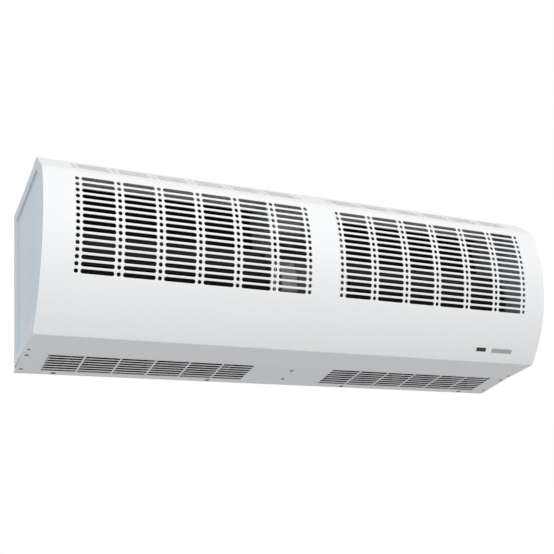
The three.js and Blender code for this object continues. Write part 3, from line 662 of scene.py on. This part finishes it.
# %% The front cover
fine_edge = 0.2
cover = PunchedSheet(x_lines, s_lines, sheet)
for centre in rows:
    s_range = (centre - row_pitch / 2, centre + row_pitch / 2)
    for x_range in dot_columns:
        cover.punch(x_range, s_range, (dot_size / 2, dot_size / 2), dot_size / 2)
    for x_range in slot_columns:
        cover.punch(x_range, s_range, (slot_length / 2, slot_height / 2), slot_height / 2)
window_x = (window_place - window_cell[0] / 2, window_place + window_cell[0] / 2)
window_s = (window_centre - window_cell[1] / 2, window_centre + window_cell[1] / 2)
cover.punch(window_x, window_s, (window_size[0] / 2, window_size[1] / 2), window_corner, fine_edge)


screw_seats = []
head_clearance = 0.25


def punch_screw(punched, line, kind, x, s):
    """A round hole with clearance for the screw's head, in a square cell; keeps where the head goes."""
    radius = screw_radius[kind] + head_clearance
    near = screw_cell / 2
    punched.punch((x - near, x + near), (s - near, s + near), (radius, radius), radius, fine_edge)
    screw_seats.append((kind, x, *line.at(s)))


for kind, x, depth in cover_screws:
    punch_screw(cover, cover_line, kind, x, cover_seam + seam_depth - depth)

tray_depth = 16
tray_gap = 1


def cover_reach(s):
    """Half the sheet's length, which is shorter at the lip, to clear the end panels' flanges."""
    return np.where(s > lip_distance + 0.5, half_length - tray_depth - tray_gap, half_length)


cover_points, cover_faces = cover.finish(cover_line, cover_reach)
make_piece("intake_cover", cover_points, cover_faces, "casing", white_coat, ["front_cover"])

# %% [markdown]
# ## The outlet panel
#
# Underneath, a second sheet carries the two outlets: six columns of seven slots each, with narrow bars
# between them. It falls three millimetres towards the wall and ends in a flat strip that reaches a little
# behind the back panel. The sheet is drawn thinner than its solid, only to make the bars look as thin as in
# the photograph.

# %% The outlet panel
outlet_drop = 3
strip_reach = 7.5
outlet_inner = 65
outlet_shift = 1.7
outlet_columns, outlet_column_pitch = 6, 50.6
outlet_rows, outlet_row_pitch = 7, 8
outlet_slot_length, outlet_slot_width = 48.2, 5.8
outlet_sheet = 0.7
outlet_margin = 0.8
outlet_corner, outlet_edge = 1.0, 0.25

panel_front = seam_depth - gap / 2
lip_top = np.array([panel_front, lip_height])
panel_corner = np.array([panel_front, 0.0])
panel_fold = np.array([0.0, -outlet_drop])
strip_end = np.array([-strip_reach, -outlet_drop])
panel_line = BentLine(
    np.concatenate([
        [lip_top],
        rounded_corner(lip_top, panel_corner, panel_fold, lip_fold),
        rounded_corner(panel_corner, panel_fold, strip_end, wall_fold),
        [strip_end],
    ])
)
panel_lip = panel_line.nearest(panel_corner)
panel_end = panel_line.distance[-1]
panel_slope = math.hypot(panel_front, outlet_drop) / panel_front
first_slot = panel_lip + (sheet + outlet_margin + outlet_slot_width / 2) * panel_slope
slot_centres = first_slot + outlet_row_pitch * np.arange(outlet_rows)

outlet_ranges = []
for side in (-1, 1):
    for column in range(outlet_columns):
        ends = outlet_shift + side * (outlet_inner + outlet_column_pitch * np.array([column, column + 1]))
        outlet_ranges.append((min(ends), max(ends)))
end_lines = np.array([0, 0.9, (outlet_column_pitch - outlet_slot_length) / 2 + outlet_corner])
panel_x = [-half_length, half_length, 0]
for low, high in outlet_ranges:
    panel_x += [*(low + end_lines), *(high - end_lines)]
panel_s = [0, *(panel_lip + np.linspace(-1.5, 0.8, 7))]
for centre in slot_centres:
    panel_s += list(centre + np.linspace(-0.5, 0.5, 5) * outlet_row_pitch)
fold = panel_line.nearest(panel_fold)
panel_s += [panel_end]
panel_screws = [(kind, x, fold - depth) for kind, x, depth in screw_places if depth < seam_depth]
for _, x, s in panel_screws:
    panel_x += screw_lines(x)
    panel_s += screw_lines(s)
panel = PunchedSheet(np.unique(np.round(panel_x, 6)), np.unique(np.round(panel_s, 6)), outlet_sheet)
for centre in slot_centres:
    s_range = (centre - outlet_row_pitch / 2, centre + outlet_row_pitch / 2)
    for x_range in outlet_ranges:
        half_slot = (outlet_slot_length / 2, outlet_slot_width / 2)
        panel.punch(x_range, s_range, half_slot, outlet_corner, outlet_edge)
for kind, x, s in panel_screws:
    punch_screw(panel, panel_line, kind, x, s)


def panel_reach(s):
    """Half the sheet's length, which is shorter at the lip, to clear the end panels' flanges."""
    return np.where(s < panel_lip - 0.5, half_length - tray_depth - tray_gap, half_length)


panel_points, panel_faces = panel.finish(panel_line, panel_reach)
make_piece("outlet_plate", panel_points, panel_faces, "casing", under_coat, ["outlet_panel"])

# %% [markdown]
# ## Screws underneath
#
# Twelve flat-headed screws hold the two bottom sheets: four along the strip, two in the middle and three at
# each end. A head is a disc on a polar grid. Its outer rings round off into the hole in the sheet, and the
# grid sinks by a smooth step wherever a point lies inside the cross of the driver's recess.


# %% Screw heads
def smooth_step(value):
    """Rises from 0 to 1 along 3v^2 - 2v^3, level at both ends."""
    value = np.clip(value, 0, 1)
    return value * value * (3 - 2 * value)


head_rings, head_points = 22, 64
arm_half_width, arm_length, recess_share = 0.15, 0.62, 0.28  # shares of the head's radius
head_sink, crown_depth, edge_drop = 0.03, 0.12, 0.5


def screw_head(radius):
    """Points (u, v, depth) on a polar grid: depth = crown + rounded edge + recess * step into the cross."""
    turn_angle = np.linspace(0, 2 * math.pi, head_points, endpoint=False)
    reach = radius * np.linspace(0.04, 1, head_rings)
    r, angle = np.meshgrid(reach, turn_angle, indexing="ij")
    u, v = r * np.cos(angle), r * np.sin(angle)
    arm = np.minimum(abs(u), abs(v))
    length = np.maximum(abs(u), abs(v))
    inside = smooth_step((arm_half_width * radius - arm) / (0.05 * radius))
    inside = inside * smooth_step((arm_length * radius - length) / 0.15)
    crown = head_sink + crown_depth * (r / radius) ** 2
    edge = edge_drop * smooth_step((r / radius - 0.9) / 0.1)
    return np.stack([u, v, crown + edge + recess_share * radius * inside], axis=-1).reshape(-1, 3)


def screws(name, kind):
    """Every head of one kind in one mesh: place = seat + x * u + along the sheet * v - normal * depth."""
    head = screw_head(screw_radius[kind])
    quads = loft_faces(head_rings, head_points)[:, ::-1]
    centre_face = np.arange(head_points)[None, :]
    points, faces = [], []
    for index, (x, seat, normal) in enumerate(seat[1:] for seat in screw_seats if seat[0] == kind):
        along = np.array([normal[1], -normal[0]])
        section = seat + head[:, 1:2] * along - head[:, 2:3] * normal
        points.append(placed(x + head[:, 0], section[:, 0], section[:, 1]))
        faces += [quads + index * len(head), centre_face + index * len(head)]
    make_piece(name, np.concatenate(points), faces, "casing", screw_steel, sharp=60)


screws("strip_screws", "strip")
screws("middle_screws", "middle")
screws("end_screws", "end")

# %% [markdown]
# ## The grey strip beside the window
#
# A thin bare strip lies on the front beside the display window. It is a small grid of points that follows
# the front arc, lifted off the paint by its thickness, with its rim turned down to the paint.

# %% Strip beside the window
beside_x, beside_arc, beside_thickness = (310, 350), (17, 24.3), 0.15
rim_width, rim_sink = 0.1, 0.1


def rimmed(low, high):
    """Eleven values from low to high, the first and last of them only the rim's width from the next."""
    return np.concatenate([[low], np.linspace(low + rim_width, high - rim_width, 9), [high]])


beside_u, beside_v = rimmed(*beside_x), rimmed(*beside_arc)
u, v = np.meshgrid(beside_u, beside_v, indexing="ij")
rim = (u == beside_x[0]) | (u == beside_x[1]) | (v == beside_arc[0]) | (v == beside_arc[1])
beside_angle = lower_edge_angle + v / front_radius
beside_radius = front_radius + np.where(rim, -rim_sink, beside_thickness)
beside_depth = front_centre[0] + beside_radius * np.cos(beside_angle)
beside_height = front_centre[1] + beside_radius * np.sin(beside_angle)
beside_points = placed(u, beside_depth, beside_height).reshape(-1, 3)
beside_faces = loft_faces(len(beside_u), len(beside_v), closed=False)
make_piece("window_strip", beside_points, [beside_faces], "casing", strip_print)

# %% [markdown]
# ## The end panels
#
# Each end is a pressed tray: a flange turned inwards, a flat border and a recessed middle. The section of
# the casing, drawn again at several distances inside its edge, gives the rings of the tray, so its border
# keeps one width all round. The bend's radius shrinks as the section moves in, and stays two millimetres
# from there. Along the floor the tray stops a little short, which leaves the dark seam. Every ring has the
# same number of points, so the rings are joined by quads, and the metal's thickness comes from a Solidify
# modifier.


# %% The end panels
least_bend = 2
floor_seam = 0.9


def inner_bend(edge):
    """Centre and radius of the bend once the section has moved in by edge: it touches the sloping face and
    the front arc, so its centre lies one radius inside both."""
    radius = max(bend_radius - edge, least_bend)
    offset = edge + radius
    depth, height = around(bend_centre, bend_radius - offset, top_slope)
    forward, up = depth - front_centre[0], height - front_centre[1]
    along = up * math.cos(top_slope) - forward * math.sin(top_slope)
    reach = along + math.sqrt(along**2 - forward**2 - up**2 + (front_radius - offset) ** 2)
    return np.array([depth + reach * math.sin(top_slope), height - reach * math.cos(top_slope)]), radius


def straight(start, end, steps):
    """Even steps from start towards end, without the end."""
    return np.linspace(start, end, steps + 1)[:-1]


def end_outline(inset):
    """The casing's section, inset: from the lower rear corner over rear, roof, slope, bend, front and floor."""
    edge = sheet + gap + inset
    low = edge + floor_seam
    top = casing_height - 2 * sheet - 2 * gap - inset
    bend, radius = inner_bend(edge)
    foot = around(bend, radius, top_slope)
    brow = [foot[0] - (top - foot[1]) * math.tan(top_slope), top]
    from_front = bend - front_centre
    first = math.atan2(from_front[1], from_front[0])
    last = math.asin((low - front_centre[1]) / (front_radius - edge))
    swing = np.linspace(top_slope, first, 8)[:-1, None]
    fall = np.linspace(first, last, 45)[:-1, None]
    front_edge = around(front_centre, front_radius - edge, last)
    return np.concatenate([
        straight([edge, low], [edge, top], 24),
        straight([edge, top], brow, 16),
        straight(brow, foot, 6),
        bend + radius * np.hstack([np.cos(swing), np.sin(swing)]),
        front_centre + (front_radius - edge) * np.hstack([np.cos(fall), np.sin(fall)]),
        straight(front_edge, [edge, low], 12),
    ])


border_width = 13.5
recess_depth = 2.6
press_radius = 0.45
edge_radius = 1.1
flange_ring, recess_ring = 3, 12  # two more rings, behind the edge's rounding and inside the recess


def quarter(steps=5):
    """The angles of a quarter turn."""
    return np.linspace(0, math.pi / 2, steps)


tray_rings = [(0, tray_depth), (0, edge_radius + flange_ring)]
tray_rings += [(edge_radius * (1 - math.cos(a)), edge_radius * (1 - math.sin(a))) for a in quarter()]
tray_rings += [(border_width / 2, 0)]
wall = border_width
for a in quarter():
    tray_rings += [(wall - press_radius * (1 - math.sin(a)), press_radius * (1 - math.cos(a)))]
for a in quarter():
    tray_rings += [(wall + press_radius * (1 - math.cos(a)), recess_depth - press_radius * (1 - math.sin(a)))]
tray_rings += [(wall + recess_ring, recess_depth)]
outline_count = len(end_outline(0))


def end_panel(name, side, stands_for):
    """Rings of the section at (inset, distance behind the casing's end), joined by quads and closed."""
    rings = []
    for inset, behind in tray_rings:
        outline = end_outline(inset)
        rings.append(placed(side * (half_length - behind), outline[:, 0], outline[:, 1]))
    faces = loft_faces(len(rings), outline_count)
    cap = (len(rings) - 1) * outline_count + np.arange(outline_count)
    if side < 0:
        faces, cap = faces[:, ::-1], cap[::-1]
    points = np.concatenate(rings)
    # The trays take the blue-grey colour, part of which is painted reflection and shade.
    made = make_piece(name, points, [faces, [cap]], "casing", end_coat_and_painted_reflection, [stands_for])
    wall_thickness = made.modifiers.new("metal", "SOLIDIFY")
    wall_thickness.thickness = sheet * mm
    wall_thickness.offset = -1


end_panel("left_tray", -1, "left_end_panel")
end_panel("right_tray", 1, "right_end_panel")

# %% [markdown]
# ## Looks of the solids that stay
# The ducts, the motor, the rails and the electrical pieces keep their solids and get their finishes here. The
# scrolls are coloured nearly black as painted shade, so that the space behind most of the slots looks dark
# without the light inside the casing making it so.

# %% Finishes by name
looks = {
    "white_paint": white_coat,
    "side_paint": end_coat_and_painted_reflection,
    "grey_paint": under_coat,
    "zinc_sheet": zinc,
    "wheel_black": wheel_coat,
    "shaft_steel": steel,
    "motor_cast": cast,
    "laminations": stack,
    "rubber": rubber,
    "bearing_plastic": rubber,
    "circuit_board": board_green,
    "capacitor_case": case_plastic,
    "terminal_plastic": case_plastic,
    "window_tint": tinted,
}
slot_of = {part["node"]: part["material_slot"] for part in frame["record"]["subparts"]}
for name, solid in nodes.items():
    solid.data.materials.clear()
    # The scrolls take the near-black painted shade instead of their own finish.
    look = painted_shade_black if name.endswith("scroll") else looks[slot_of[name]]
    solid.data.materials.append(look)
print("finished solids:", len(nodes))

# %% [markdown]
# ## Light, floor and background
#
# The photograph has a pure white background and soft light from the front. The world gives even light, and
# shows as plain white to the camera and in reflections. A large lamp high on the right makes the upper front
# brighter than the underside, a lower one on the left evens the front out, and a weak one lights the left
# end. Their strength keeps the white paint just short of pure white, so its shading stays visible. The floor
# lies as far below as a doorway's floor would.

# %% World and lamps
scene = bpy.context.scene
scene.view_settings.view_transform = "Standard"
world = bpy.data.worlds.new("studio")
scene.world = world
world.use_nodes = True
tree = world.node_tree
tree.nodes.clear()
path = node(tree, "ShaderNodeLightPath")
seen = node(tree, "ShaderNodeMath", {0: path.outputs["Is Camera Ray"], 1: path.outputs["Is Glossy Ray"]})
seen.operation = "MAXIMUM"
shown = node(tree, "ShaderNodeMath", {0: seen.outputs[0], 1: path.outputs["Is Transmission Ray"]})
shown.operation = "MAXIMUM"
even_light = node(tree, "ShaderNodeBackground", {"Color": (0.96, 0.98, 1.0, 1), "Strength": 0.46})
plain_white = node(tree, "ShaderNodeBackground", {"Color": (1, 1, 1, 1), "Strength": 1.0})
mixed_links = {0: shown.outputs[0], 1: even_light.outputs[0], 2: plain_white.outputs[0]}
mixed = node(tree, "ShaderNodeMixShader", mixed_links)
node(tree, "ShaderNodeOutputWorld", {"Surface": mixed.outputs[0]})


def lamp(name, place, target, size, power):
    """A square soft lamp of the given size in metres and power in watts, turned to its target."""
    data = bpy.data.lights.new(name, "AREA")
    data.size = size
    data.energy = power
    made = bpy.data.objects.new(name, data)
    scene.collection.objects.link(made)
    made.location = place
    made.rotation_euler = (Vector(target) - Vector(place)).to_track_quat("-Z", "Y").to_euler()


aim = (0, -0.1, -0.1)
lamp("front_lamp", (1.3, -3.1, 1.6), aim, 3.0, 56)
lamp("low_lamp", (-1.6, -2.9, -0.2), aim, 1.6, 32)
lamp("left_lamp", (-3.0, -0.8, 0.0), aim, 1.6, 6)
print("lamps:", len(bpy.data.lights))

# %% Floor
floor_drop, floor_half = 2.1, 8.0
corners = np.array([[-1, -1, 0], [1, -1, 0], [1, 1, 0], [-1, 1, 0]]) * floor_half + [0, 0, -floor_drop]
floor_mesh = bpy.data.meshes.new("floor")
floor_mesh.from_pydata(corners.tolist(), [], [(0, 1, 2, 3)])
floor = bpy.data.objects.new("floor", floor_mesh)
scene.collection.objects.link(floor)
floor_paint = bpy.data.materials.new("pale_floor")
floor_paint.use_nodes = True
floor_shader = floor_paint.node_tree.nodes["Principled BSDF"]
floor_shader.inputs["Base Color"].default_value = (0.85, 0.85, 0.85, 1)
floor_shader.inputs["Roughness"].default_value = 0.9
floor_mesh.materials.append(floor_paint)
